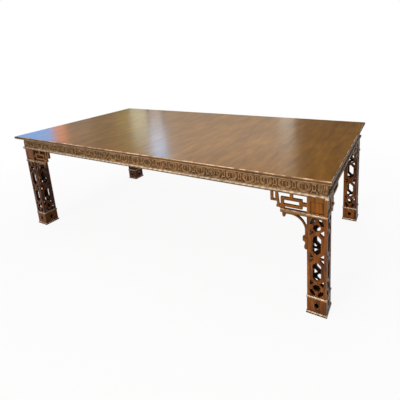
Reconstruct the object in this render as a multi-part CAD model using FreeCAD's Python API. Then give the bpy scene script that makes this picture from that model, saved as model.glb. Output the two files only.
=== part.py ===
import FreeCAD
import Part
import math
import os

# Table top, millimetres
TOP_LENGTH = 2455.0
TOP_WIDTH = 1185.0
TABLE_HEIGHT = 760.0
TOP_THICK = 22.0
EDGE_WIDTH = 24.0
EDGE_ROUND = 7.0
EDGE_NOSE = 5.0
EDGE_COVE = 8.0
END_OVERHANG = 29.0
SIDE_OVERHANG = 44.0

# Frieze rail and the moulding along its lower edge
RAIL_HEIGHT = 88.0
RAIL_THICK = 24.0
FRIEZE_SINK = 2.5
FRIEZE_TOP_RIM = 4.0
MOULD_HEIGHT = 18.0
MOULD_OUT = 9.0
MOULD_LIP = 3.0
MOULD_SHOULDER = 1.5

# Leg
LEG_SIZE = 98.0
POST_SIZE = 74.0
BLOCK_HEIGHT = 90.0
PANEL_STILE = 14.0
PANEL_TOP = 22.0
PANEL_BOTTOM = 7.0
PANEL_SINK = 3.5
COLLAR_HEIGHT = 13.0
COLLAR_OUT = 4.5
COLLAR_ROUND = 5.5
CAP_HEIGHT = 13.0
CAP_OUT = 4.5
CAP_ROUND = 5.5
PLINTH_HEIGHT = 79.0
PLINTH_SIZE = 101.0
PLINTH_WALL = 13.0
PLINTH_HOLE_WIDE = 25.0
PLINTH_HOLE_HIGH = 32.0
PLINTH_HOLE_Z = 53.0
BASE_HEIGHT = 12.0
BASE_OUT = 5.5
BASE_ROUND = 4.0

# Pierced boards of the leg
BOARD_THICK = 12.0
BOARD_STILE = 13.5
HEX_WIDE = 42.0
HEX_POINT = 19.0
HEX_START = 20.0
BOSS_BAR = 6.0
BOSS_HALF = 11.5
BOSS_TRI_HIGH = 26.0
LINK_GAP = 11.0
LINK_TRI_HALF = 18.0
LINK_TRI_APEX = 13.0
RING_STEP = 26.0
RING_HOLE_WIDE = 37.0
RING_HOLE_HIGH = 36.0
DROP_LOW = 14.0
DROP_HIGH = 47.0
DROP_WIDE = 16.0
DROP_STEM = 6.0
BOARD_END_RAIL = 7.5

# Pierced corner bracket
BRACKET_THICK = 14.0
BRACKET_INSET = 4.0
STUB_NEAR = 155.0
STUB_FAR = 190.0
STUB_DEEP = 54.0
SLOT_NEAR = 164.0
SLOT_FAR = 177.0
SLOT_DEEP = 45.0
LEAN_TOP = 157.0
LEAN_FOOT = 148.0
LEAN_DEEP = 80.0
LEAN_BAR = 10.5
FRAME_NEAR = 24.0
FRAME_FAR = 135.0
FRAME_TOP = 26.0
FRAME_FOOT = 76.0
FRAME_SIDE_BAR = 15.5
FRAME_TOP_BAR = 14.0
FRAME_FOOT_BAR = 13.5
HANGER_WIDE = 16.0
TIE_TOP = 41.0
TIE_FOOT = 59.0
KNEE_NEAR = 117.0
KNEE_FAR = 141.0
KNEE_TOP = 66.0
SHELF_FAR = 138.0
SHELF_HIGH = 23.0
SHELF_DROP = 87.0
ARC_RADIUS = 74.0
ARC_BAND = 8.0
ARC_NEAR = 10.0
PENDANT_NEAR = 110.0
PENDANT_FAR = 129.0
PENDANT_TIP = 23.0
PENDANT_TAPER = 2.0
PENDANT_ROUND = 6.0
STRIP_WIDE = 11.0
STRIP_RISE = 30.0
STRIP_FOOT = 289.0
BUMP_OUT = 23.0
BUMP_TOP = 214.0
BUMP_FOOT = 249.0
HEEL_OUT = 15.0
HEEL_TOP = 262.0

# The brackets at the ends are the same pattern, drawn in toward the leg
END_SHORTER = 66.0
END_ARC_RADIUS = 24.0
RUNG_TOP = 43.0
RUNG_FOOT = 57.0

# Draw slides under the top
SLIDE_OFFSET = 300.0
RUNNER_WIDE = 26.0
RUNNER_HIGH = 44.0
RUNNER_DROP = 3.0
MIDDLE_LONG = 1400.0
RUNNER_TAIL = 50.0
RIB_HIGH = 14.0
RIB_DEEP = 8.0
PAD_LONG = 70.0
PAD_TAIL = 40.0
PAD_SEAM = 60.0
BEARER_WIDE = 40.0
BEARER_HIGH = 22.0
BEARER_GAP = 20.0
BRACE_THICK = 28.0
BRACE_HIGH = 45.0
BRACE_SETBACK = 3.0

# Flat tongues that line the two halves up
TONGUE_WIDE = 70.0
TONGUE_THICK = 8.0
TONGUE_LONG = 36.0
TONGUE_TIP = 2.0
TONGUE_ROW = 420.0

# Clearances
SEAM_GAP = 0.4
SLIDE_CLEAR = 0.4
SOCKET_CLEAR = 0.4
LIFT_CLEAR = 1.0

# Levels and planes that follow from the sizes
V = FreeCAD.Vector
UP = V(0, 0, 1)
TOP_UNDER = TABLE_HEIGHT - TOP_THICK
RAIL_FOOT = TOP_UNDER - RAIL_HEIGHT
BLOCK_FOOT = RAIL_FOOT - BLOCK_HEIGHT
BOARD_TOP = BLOCK_FOOT - COLLAR_HEIGHT
PLINTH_TOP = BASE_HEIGHT + PLINTH_HEIGHT
BOARD_FOOT = PLINTH_TOP + CAP_HEIGHT
BOARD_MID = (BOARD_TOP + BOARD_FOOT) / 2
FACE_X = TOP_LENGTH / 2 - END_OVERHANG
FACE_Y = TOP_WIDTH / 2 - SIDE_OVERHANG
LEG_X = FACE_X - LEG_SIZE / 2
LEG_Y = -FACE_Y + LEG_SIZE / 2
HALF_SEAM = SEAM_GAP / 2

os.makedirs("parts", exist_ok=True)


# Small helpers
def box(low, high):
    return Part.makeBox(high[0] - low[0], high[1] - low[1], high[2] - low[2], V(*low))


def polygon(points):
    return Part.Face(Part.makePolygon([V(*p) for p in points] + [V(*points[0])]))


def join(shapes):
    whole = shapes[0]
    if len(shapes) > 1:
        whole = shapes[0].fuse(shapes[1:])
    return whole.removeSplitter()


def flip(shape, normal):
    turned = shape.mirror(V(0, 0, 0), normal)
    if turned.Volume < 0:
        turned.reverse()
    return turned


def save(name, shape):
    shape.exportStep("parts/" + name + ".step")


def corner_set(name, shape):
    left = flip(shape, V(1, 0, 0))
    save(name + "_front_right", shape)
    save(name + "_front_left", left)
    save(name + "_back_right", flip(shape, V(0, 1, 0)))
    save(name + "_back_left", flip(left, V(0, 1, 0)))


# Straight pieces round the table: out is measured from the face plane, along runs with the side
def side_run(edges, start, stop, mitre_start, mitre_stop, deep, out):
    section = Part.Face(Part.Wire(edges))
    section.translate(V(start - out - 1, 0, 0))
    bar = section.extrude(V(stop - start + 2 * out + 2, 0, 0))
    plan = [
        (start + deep * mitre_start, deep, 0),
        (start - out * mitre_start, -out, 0),
        (stop + out * mitre_stop, -out, 0),
        (stop - deep * mitre_stop, deep, 0),
    ]
    return bar.common(polygon(plan).extrude(V(0, 0, TABLE_HEIGHT + 1)))


def line_edges(points):
    ring = [V(0, -p[0], p[1]) for p in points]
    return [Part.makeLine(a, b) for a, b in zip(ring, ring[1:] + ring[:1])]


def arc_edge(a, m, b):
    ends = [V(0, -p[0], p[1]) for p in (a, m, b)]
    return Part.Arc(*ends).toShape()


def line_edge(a, b):
    return Part.makeLine(V(0, -a[0], a[1]), V(0, -b[0], b[1]))


def place(shape, turn, plane):
    moved = shape.copy()
    moved.translate(V(0, -plane, 0))
    moved.rotate(V(0, 0, 0), UP, turn)
    return moved


def side_set(name, edges, half_long, half_wide, plane_x, plane_y, deep, out):
    front = side_run(edges, HALF_SEAM, half_long, 0, 1, deep, out)
    other = side_run(edges, -half_long, -HALF_SEAM, 1, 0, deep, out)
    end = side_run(edges, -half_wide, half_wide, 1, 1, deep, out)
    save(name + "_front_right", place(front, 0, plane_y))
    save(name + "_front_left", place(other, 0, plane_y))
    save(name + "_back_right", place(other, 180, plane_y))
    save(name + "_back_left", place(front, 180, plane_y))
    save(name + "_end_right", place(end, 90, plane_x))
    save(name + "_end_left", place(end, -90, plane_x))


# Moulded lipping round the top
def edge_section():
    diag = math.sqrt(0.5)
    top = TABLE_HEIGHT
    turn = (-EDGE_ROUND + EDGE_ROUND * diag, top - EDGE_ROUND + EDGE_ROUND * diag)
    nose = top - EDGE_ROUND - EDGE_NOSE
    foot = nose - EDGE_COVE
    hollow = (-EDGE_COVE * (1 - diag), nose - EDGE_COVE * diag)
    return [
        line_edge((-EDGE_WIDTH, TOP_UNDER), (-EDGE_WIDTH, top)),
        line_edge((-EDGE_WIDTH, top), (-EDGE_ROUND, top)),
        arc_edge((-EDGE_ROUND, top), turn, (0, top - EDGE_ROUND)),
        line_edge((0, top - EDGE_ROUND), (0, nose)),
        arc_edge((0, nose), hollow, (-EDGE_COVE, foot)),
        line_edge((-EDGE_COVE, foot), (-EDGE_COVE, TOP_UNDER)),
        line_edge((-EDGE_COVE, TOP_UNDER), (-EDGE_WIDTH, TOP_UNDER)),
    ]


side_set("top_edge", edge_section(), TOP_LENGTH / 2, TOP_WIDTH / 2, TOP_LENGTH / 2,
         TOP_WIDTH / 2, EDGE_WIDTH, 0)


# Frieze rails with a sunk field for the carving
def rail_section():
    sunk = -FRIEZE_SINK
    return line_edges([
        (-RAIL_THICK, RAIL_FOOT),
        (0, RAIL_FOOT),
        (0, RAIL_FOOT + MOULD_HEIGHT),
        (sunk, RAIL_FOOT + MOULD_HEIGHT),
        (sunk, TOP_UNDER - FRIEZE_TOP_RIM),
        (0, TOP_UNDER - FRIEZE_TOP_RIM),
        (0, TOP_UNDER),
        (-RAIL_THICK, TOP_UNDER),
    ])


side_set("rail", rail_section(), FACE_X, FACE_Y, FACE_X, FACE_Y, RAIL_THICK, 0)


# Half-round moulding under the frieze
def mould_section():
    foot = RAIL_FOOT
    head = RAIL_FOOT + MOULD_HEIGHT
    middle = (foot + MOULD_LIP + head) / 2
    return [
        line_edge((0, foot), (MOULD_LIP, foot)),
        line_edge((MOULD_LIP, foot), (MOULD_LIP, foot + MOULD_LIP)),
        arc_edge((MOULD_LIP, foot + MOULD_LIP), (MOULD_OUT, middle), (MOULD_SHOULDER, head)),
        line_edge((MOULD_SHOULDER, head), (0, head)),
        line_edge((0, head), (0, foot)),
    ]


side_set("moulding", mould_section(), FACE_X, FACE_Y, FACE_X, FACE_Y, 0, MOULD_OUT + 1)


# Two halves of the top panel, with tongues in the left meeting edge and sockets in the right one
def seam_bar(row, start, stop, grow):
    middle = TABLE_HEIGHT - TOP_THICK / 2
    return box((start, row - TONGUE_WIDE / 2 - grow, middle - TONGUE_THICK / 2 - grow),
               (stop, row + TONGUE_WIDE / 2 + grow, middle + TONGUE_THICK / 2 + grow))


PANEL_X = TOP_LENGTH / 2 - EDGE_WIDTH
PANEL_Y = TOP_WIDTH / 2 - EDGE_WIDTH
panel_right = box((HALF_SEAM, -PANEL_Y, TOP_UNDER), (PANEL_X, PANEL_Y, TABLE_HEIGHT))
panel_left = flip(panel_right, V(1, 0, 0))
tongues = []
for row in (-TONGUE_ROW, 0, TONGUE_ROW):
    reach = TONGUE_LONG / 2
    panel_right = panel_right.cut(seam_bar(row, 0, reach + LIFT_CLEAR, SOCKET_CLEAR))
    bar = seam_bar(row, -reach, reach, 0)
    panel_left = panel_left.cut(bar)
    tips = [e for e in bar.Edges if abs(e.CenterOfMass.x - reach) < 0.01]
    tongues.append(bar.makeChamfer(TONGUE_TIP, tips))
save("top_panel_right", panel_right)
save("top_panel_left", panel_left)
save("top_tongues", Part.makeCompound(tongues))


# Leg block with the post that stands inside the rail corner
def sunk_panel(block_face):
    return box((-LEG_SIZE / 2 + PANEL_STILE, -block_face, BLOCK_FOOT + PANEL_BOTTOM),
               (LEG_SIZE / 2 - PANEL_STILE, -block_face + PANEL_SINK, RAIL_FOOT - PANEL_TOP))


half = LEG_SIZE / 2
block = box((-half, -half, BLOCK_FOOT), (half, half, RAIL_FOOT))
front_panel = sunk_panel(half)
side_panel = front_panel.copy()
side_panel.rotate(V(0, 0, 0), UP, 90)
block = block.cut(front_panel).cut(side_panel)
post = box((-half, half - POST_SIZE, RAIL_FOOT), (-half + POST_SIZE, half, TOP_UNDER))
leg_block = join([block, post])
leg_block.translate(V(LEG_X, LEG_Y, 0))
corner_set("leg_block", leg_block)


# Upright eight-sided opening
def octagon(wide, high, y, z):
    points = []
    for step in range(8):
        angle = math.radians(22.5 + 45 * step)
        grow = 1 / math.cos(math.radians(22.5))
        points.append((wide / 2 * grow * math.cos(angle), y, z + high / 2 * grow * math.sin(angle)))
    return polygon(points)


# Square plate with rounded edges, used for the collar, plinth cap and base
def plate(size, foot, high, rounding, both):
    reach = size / 2
    solid = box((-reach, -reach, foot), (reach, reach, foot + high))
    levels = [foot + high]
    if both:
        levels.append(foot)
    rims = []
    for edge in solid.Edges:
        if min(abs(edge.CenterOfMass.z - level) for level in levels) < 0.01:
            rims.append(edge)
    solid = solid.makeFillet(rounding, rims)
    solid.translate(V(LEG_X, LEG_Y, 0))
    return solid


collar = plate(LEG_SIZE + 2 * COLLAR_OUT, BOARD_TOP, COLLAR_HEIGHT, COLLAR_ROUND, True)
corner_set("leg_collar", collar)


# Pierced boards: outlines of the openings, height measured from the board's middle
FIELD = LEG_SIZE / 2 - BOARD_STILE
HEX_END = (BOARD_TOP - BOARD_FOOT) / 2 - BOARD_END_RAIL - DROP_HIGH - RING_STEP - LINK_GAP
LINK_Z = HEX_END + LINK_GAP
RING_Z = LINK_Z + RING_STEP


def opening_outlines():
    hex_half = HEX_WIDE / 2
    bar = BOSS_BAR / 2
    hexagon = [(0, HEX_START), (hex_half, HEX_START + HEX_POINT), (hex_half, HEX_END - HEX_POINT),
               (0, HEX_END), (-hex_half, HEX_END - HEX_POINT), (-hex_half, HEX_START + HEX_POINT)]
    boss = [(FIELD, bar), (FIELD, bar + BOSS_TRI_HIGH), (BOSS_HALF, bar + 2)]
    link = [(FIELD, LINK_Z - LINK_TRI_HALF), (FIELD, LINK_Z + LINK_TRI_HALF), (LINK_TRI_APEX, LINK_Z)]
    low = RING_Z + DROP_LOW
    high = RING_Z + DROP_HIGH
    drop = [(FIELD - 1, low), (FIELD - 1, low + DROP_WIDE), (DROP_STEM + DROP_WIDE, high),
            (DROP_STEM, high), (DROP_STEM, high - DROP_WIDE / 2), (FIELD - DROP_WIDE, low + 2)]
    return [hexagon, boss, link, drop]


def board_cutters():
    cutters = []
    outlines = opening_outlines()
    for flip_z in (1, -1):
        for index, outline in enumerate(outlines):
            for flip_u in (1, -1):
                if index == 0 and flip_u < 0:
                    continue
                points = [(u * flip_u, -half - 1, BOARD_MID + z * flip_z) for u, z in outline]
                cutters.append(polygon(points).extrude(V(0, BOARD_THICK + 2, 0)))
        ring = octagon(RING_HOLE_WIDE, RING_HOLE_HIGH, -half - 1, BOARD_MID + RING_Z * flip_z)
        cutters.append(ring.extrude(V(0, BOARD_THICK + 2, 0)))
    return cutters


inner = half - BOARD_THICK
board_plan = [(-half, -half, BOARD_FOOT), (half, -half, BOARD_FOOT),
              (inner, -inner, BOARD_FOOT), (-inner, -inner, BOARD_FOOT)]
board = polygon(board_plan).extrude(V(0, 0, BOARD_TOP - BOARD_FOOT))
board = board.cut(board_cutters())
boards = []
for turn in (0, 90, 180, 270):
    one = board.copy()
    one.rotate(V(0, 0, 0), UP, turn)
    one.translate(V(LEG_X, LEG_Y, 0))
    boards.append(one.Solids[0])
corner_set("leg_fret", Part.makeCompound(boards))


# Hollow pierced plinth between its cap and base
wall_out = PLINTH_SIZE / 2
wall_in = wall_out - PLINTH_WALL
plinth = box((-wall_out, -wall_out, BASE_HEIGHT), (wall_out, wall_out, PLINTH_TOP))
plinth = plinth.cut(box((-wall_in, -wall_in, BASE_HEIGHT), (wall_in, wall_in, PLINTH_TOP)))
hole_along = octagon(PLINTH_HOLE_WIDE, PLINTH_HOLE_HIGH, -PLINTH_SIZE, PLINTH_HOLE_Z)
hole_along = hole_along.extrude(V(0, 2 * PLINTH_SIZE, 0))
hole_across = hole_along.copy()
hole_across.rotate(V(0, 0, 0), UP, 90)
plinth = plinth.cut(hole_along).cut(hole_across)
plinth.translate(V(LEG_X, LEG_Y, 0))
cap = plate(LEG_SIZE + 2 * CAP_OUT, PLINTH_TOP, CAP_HEIGHT, CAP_ROUND, True)
base = plate(LEG_SIZE + 2 * BASE_OUT, 0, BASE_HEIGHT, BASE_ROUND, False)
corner_set("leg_plinth", Part.makeCompound([plinth.Solids[0], cap, base]))


# Pierced bracket: u runs from the leg toward the middle, drop runs down from the rail
def bracket_plate(points):
    return polygon([(u, 0, RAIL_FOOT - drop) for u, drop in points]).extrude(V(0, BRACKET_THICK, 0))


def bracket_bar(near, far, top, foot):
    return bracket_plate([(near, top), (far, top), (far, foot), (near, foot)])


SHELF_FOOT = SHELF_DROP + SHELF_HIGH


# Slotted stub under the rail
def bracket_stub():
    stub = bracket_bar(STUB_NEAR, STUB_FAR, 0, STUB_DEEP)
    return stub.cut(bracket_bar(SLOT_NEAR, SLOT_FAR, 0, SLOT_DEEP))


# Box frame with the hanger, tie and knee that hold it
def bracket_frame(shorter):
    far = FRAME_FAR - shorter
    middle = (FRAME_NEAR + far) / 2
    frame = bracket_bar(FRAME_NEAR, far, FRAME_TOP, FRAME_FOOT)
    frame = frame.cut(bracket_bar(FRAME_NEAR + FRAME_SIDE_BAR, far - FRAME_SIDE_BAR,
                                  FRAME_TOP + FRAME_TOP_BAR, FRAME_FOOT - FRAME_FOOT_BAR))
    hanger = bracket_bar(middle - HANGER_WIDE / 2, middle + HANGER_WIDE / 2, 0, FRAME_TOP + 1)
    tie = bracket_bar(0, FRAME_NEAR + 1, TIE_TOP, TIE_FOOT)
    knee = bracket_bar(KNEE_NEAR - shorter, KNEE_FAR - shorter, KNEE_TOP, SHELF_DROP + 1)
    return [frame, hanger, tie, knee]


# Shelf with its pale front bead and the pendant under its end
def bracket_shelf(shorter):
    far = SHELF_FAR - shorter
    near_side = PENDANT_NEAR - shorter
    far_side = PENDANT_FAR - shorter
    tip = SHELF_FOOT + PENDANT_TIP
    shelf = bracket_bar(0, far, SHELF_DROP, SHELF_FOOT)
    bead = box((COLLAR_OUT, -BRACKET_INSET, BOARD_TOP), (far, 1, BLOCK_FOOT))
    pendant = bracket_plate([(near_side, SHELF_FOOT - 1), (far_side, SHELF_FOOT - 1),
                             (far_side - PENDANT_TAPER, tip - PENDANT_ROUND),
                             (far_side - PENDANT_ROUND, tip), (near_side + PENDANT_ROUND, tip),
                             (near_side + PENDANT_TAPER, tip - PENDANT_ROUND)])
    return [shelf, bead, pendant]


# Curved brace under the shelf, and the strip with its bumps that lies along the leg
def bracket_brace(shorter, radius):
    middle = ARC_NEAR + radius
    centre_drop = SHELF_FOOT + radius + ARC_BAND / 2
    centre = V(middle, 0, RAIL_FOOT - centre_drop)
    ring = Part.makeCylinder(radius + ARC_BAND, BRACKET_THICK, centre, V(0, 1, 0))
    ring = ring.cut(Part.makeCylinder(radius, BRACKET_THICK, centre, V(0, 1, 0)))
    arc = ring.common(bracket_bar(0, middle, SHELF_FOOT - ARC_BAND / 2, centre_drop))
    spur = bracket_bar(middle - 1, PENDANT_FAR - shorter - 4, SHELF_FOOT - 1, SHELF_FOOT + ARC_BAND / 2)
    strip = bracket_bar(0, STRIP_WIDE, centre_drop - STRIP_RISE, STRIP_FOOT)
    bump = bracket_plate([(0, BUMP_TOP), (STRIP_WIDE, BUMP_TOP), (BUMP_OUT, BUMP_TOP + 7),
                          (BUMP_OUT, BUMP_FOOT - 7), (STRIP_WIDE, BUMP_FOOT), (0, BUMP_FOOT)])
    heel = bracket_plate([(0, HEEL_TOP), (STRIP_WIDE, HEEL_TOP), (HEEL_OUT, HEEL_TOP + 6),
                          (HEEL_OUT, STRIP_FOOT - 6), (STRIP_WIDE - 2, STRIP_FOOT), (0, STRIP_FOOT)])
    return [arc, spur, strip, bump, heel]


# Leaning bar between the stub and the knee of a long bracket
def bracket_lean():
    lean = bracket_plate([(LEAN_TOP - LEAN_BAR / 2, 0), (LEAN_TOP + LEAN_BAR / 2, 0),
                          (LEAN_FOOT + LEAN_BAR / 2, LEAN_DEEP), (LEAN_FOOT - LEAN_BAR / 2, LEAN_DEEP)])
    foot = bracket_bar(KNEE_FAR - 4, LEAN_FOOT + LEAN_BAR, LEAN_DEEP - 8, LEAN_DEEP + 5)
    return [lean, foot]


# Rung between the stub and the frame of a short bracket
def bracket_rung(shorter):
    return [bracket_bar(FRAME_FAR - shorter - 1, STUB_NEAR + 1, RUNG_TOP, RUNG_FOOT)]


def bracket(shorter, radius, links):
    shelf = bracket_shelf(shorter)
    whole = join(shelf + [bracket_stub()] + bracket_frame(shorter) + bracket_brace(shorter, radius) + links)
    notch = box((-1, -2 * BRACKET_INSET, BOARD_TOP), (COLLAR_OUT, 2 * BRACKET_THICK, BLOCK_FOOT))
    return whole.cut(notch).removeSplitter().Solids[0]


side_bracket = bracket(0, ARC_RADIUS, bracket_lean()).mirror(V(0, 0, 0), V(1, 0, 0))
side_bracket.translate(V(FACE_X - LEG_SIZE, -FACE_Y + BRACKET_INSET, 0))
corner_set("bracket_side", side_bracket)
end_bracket = bracket(END_SHORTER, END_ARC_RADIUS, bracket_rung(END_SHORTER))
end_bracket.rotate(V(0, 0, 0), UP, 90)
end_bracket.translate(V(FACE_X - BRACKET_INSET, -FACE_Y + LEG_SIZE, 0))
corner_set("bracket_end", end_bracket)


# Draw slides: two outer runners, each fixed to one half, and a middle runner between them
RUNNER_TOP = TOP_UNDER - RUNNER_DROP
RUNNER_FOOT = RUNNER_TOP - RUNNER_HIGH
RIB_Z = (RUNNER_TOP + RUNNER_FOOT) / 2
PITCH = RUNNER_WIDE + SLIDE_CLEAR
RUNNER_NEAR = MIDDLE_LONG / 2
RUNNER_FAR = RUNNER_NEAR + RUNNER_TAIL


def runner(start, stop, centre, foot):
    return box((start, centre - RUNNER_WIDE / 2, foot), (stop, centre + RUNNER_WIDE / 2, RUNNER_TOP))


def rib(start, stop, edge, direction, grow):
    near = edge
    far = edge + direction * (SLIDE_CLEAR + RIB_DEEP + grow)
    low = (start, min(near, far), RIB_Z - RIB_HIGH / 2 - grow)
    high = (stop, max(near, far), RIB_Z + RIB_HIGH / 2 + grow)
    return box(low, high)


def pad(start, stop, centre):
    return box((start, centre - RUNNER_WIDE / 2, RUNNER_TOP), (stop, centre + RUNNER_WIDE / 2, TOP_UNDER))


def slide_set(name, middle_y, direction):
    left_y = middle_y - direction * PITCH
    right_y = middle_y + direction * PITCH
    shift = -direction
    left_edge = middle_y + shift * RUNNER_WIDE / 2
    right_edge = middle_y - shift * RUNNER_WIDE / 2
    near = RUNNER_NEAR
    far = RUNNER_FAR
    middle = runner(-near, near, middle_y, RUNNER_FOOT + LIFT_CLEAR)
    ribs = [rib(-near, near, left_edge, shift, 0), rib(-near, near, right_edge, -shift, 0)]
    middle = join([middle] + ribs)
    left = runner(-far, near, left_y, RUNNER_FOOT)
    left = left.cut(rib(-far, near, left_edge, shift, SLIDE_CLEAR))
    left = join([left, pad(PAD_TAIL - far, PAD_TAIL + PAD_LONG - far, left_y),
                 pad(-PAD_SEAM - PAD_LONG, -PAD_SEAM, left_y)])
    right = runner(-near, far, right_y, RUNNER_FOOT)
    right = right.cut(rib(-near, far, right_edge, -shift, SLIDE_CLEAR))
    right = join([right, pad(far - PAD_TAIL - PAD_LONG, far - PAD_TAIL, right_y),
                  pad(PAD_SEAM, PAD_SEAM + PAD_LONG, right_y)])
    save(name + "_runner_left", left)
    save(name + "_runner_middle", middle)
    save(name + "_runner_right", right)


slide_set("front_slide", -SLIDE_OFFSET, 1)
slide_set("back_slide", SLIDE_OFFSET, -1)


# Cross bearers under the outer ends of the fixed runners
def bearer(side):
    centre = side * (RUNNER_NEAR + BEARER_GAP + BEARER_WIDE / 2)
    return box((centre - BEARER_WIDE / 2, -FACE_Y + RAIL_THICK, RUNNER_FOOT - BEARER_HIGH),
               (centre + BEARER_WIDE / 2, FACE_Y - RAIL_THICK, RUNNER_FOOT))


save("bearer_right", bearer(1))
save("bearer_left", bearer(-1))


# Corner braces across the inside of the rail corners
def corner_brace():
    in_x = FACE_X - RAIL_THICK
    in_y = -FACE_Y + RAIL_THICK
    near = POST_SIZE * 2 + 2 * BRACE_SETBACK
    far = near + BRACE_THICK * math.sqrt(2)
    plan = [(in_x - near, in_y), (in_x, in_y + near), (in_x, in_y + far), (in_x - far, in_y)]
    return polygon([(x, y, TOP_UNDER - BRACE_HIGH) for x, y in plan]).extrude(V(0, 0, BRACE_HIGH))


brace = corner_brace()
braces_right = [brace, flip(brace, V(0, 1, 0))]
save("corner_braces_right", Part.makeCompound(braces_right))
save("corner_braces_left", Part.makeCompound([flip(b, V(1, 0, 0)) for b in braces_right]))
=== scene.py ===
"""Dress an extending dining table: carved frieze, fretted legs and brackets, polished top."""

import logging
import math
from dataclasses import dataclass, field
from enum import Enum

import bmesh
import bpy
from bmesh.types import BMEdge, BMFace, BMVert
from bpy.types import Material, NodeSocket
from mathutils import Matrix, Vector


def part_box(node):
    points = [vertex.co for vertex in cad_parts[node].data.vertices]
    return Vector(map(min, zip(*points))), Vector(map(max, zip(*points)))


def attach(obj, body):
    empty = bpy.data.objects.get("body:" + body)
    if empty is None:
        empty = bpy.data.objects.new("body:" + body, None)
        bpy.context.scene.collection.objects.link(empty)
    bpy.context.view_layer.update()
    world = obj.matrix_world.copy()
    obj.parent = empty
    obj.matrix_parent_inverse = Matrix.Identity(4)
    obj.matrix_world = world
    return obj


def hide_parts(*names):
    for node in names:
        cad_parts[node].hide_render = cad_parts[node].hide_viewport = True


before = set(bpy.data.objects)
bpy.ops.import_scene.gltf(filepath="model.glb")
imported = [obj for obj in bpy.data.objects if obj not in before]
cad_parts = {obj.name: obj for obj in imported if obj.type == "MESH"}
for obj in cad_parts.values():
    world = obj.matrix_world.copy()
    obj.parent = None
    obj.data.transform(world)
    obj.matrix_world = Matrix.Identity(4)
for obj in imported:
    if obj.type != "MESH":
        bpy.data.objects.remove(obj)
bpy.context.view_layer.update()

LOG = logging.getLogger("dining_table")
Colour = tuple[float, float, float, float]
Point = tuple[float, float, float]
Pair = tuple[float, float]
MM = 0.001
WEAR_AND_PAINTED_LIGHT = "wear_and_painted_light"
MERGE_GAP = 0.005 * MM
FLAT_ANGLE = math.radians(1.0)
SHARP_ANGLE = math.radians(35.0)
CREASE_ANGLE = math.radians(50.0)
LEDGE_TILT = 0.2
NOISE_GAIN = 0.6
STRAP_EASE = 0.24
# Pale mark on strap fronts, as rubbing and painted highlight.
STRAP_WEAR_AND_HIGHLIGHT = 0.7
# Darkest painted shade, for the corners of recesses and for hollows.
FULL_PAINTED_SHADE = -1.0
BEAD_SIDES = 8
BEAD_RINGS = 6
STAGE_SIDES = 64
WHITE = (1.0, 1.0, 1.0, 1.0)


def stain(red: int, green: int, blue: int) -> Colour:
    """Turn a colour as the eye reads it into the linear colour that a shader takes.

    Args:
        red: Red from 0 to 255.
        green: Green from 0 to 255.
        blue: Blue from 0 to 255.

    Returns:
        The linear colour with full opacity.
    """
    def linear(step: int) -> float:
        """Give one channel without its display curve."""
        share = step / 255
        return share / 12.92 if share <= 0.04045 else ((share + 0.055) / 1.055) ** 2.4

    return (linear(red), linear(green), linear(blue), 1.0)


class Grain(Enum):
    """Axis of the table that the grain of a piece runs along."""

    LENGTH = 0
    WIDTH = 1
    HEIGHT = 2


class Side(Enum):
    """Side of the table that a length of apron stands on."""

    FRONT = "front"
    BACK = "back"
    END = "end"

    @property
    def grain(self) -> Grain:
        """Grain of a piece that runs along this side."""
        return Grain.WIDTH if self is Side.END else Grain.LENGTH


class Half(Enum):
    """Half of the table, which is also one of its moving bodies."""

    LEFT = "left"
    RIGHT = "right"

    @property
    def body(self) -> str:
        """Name of the body that the half's pieces ride on."""
        return f"{self.value}_half"


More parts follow.
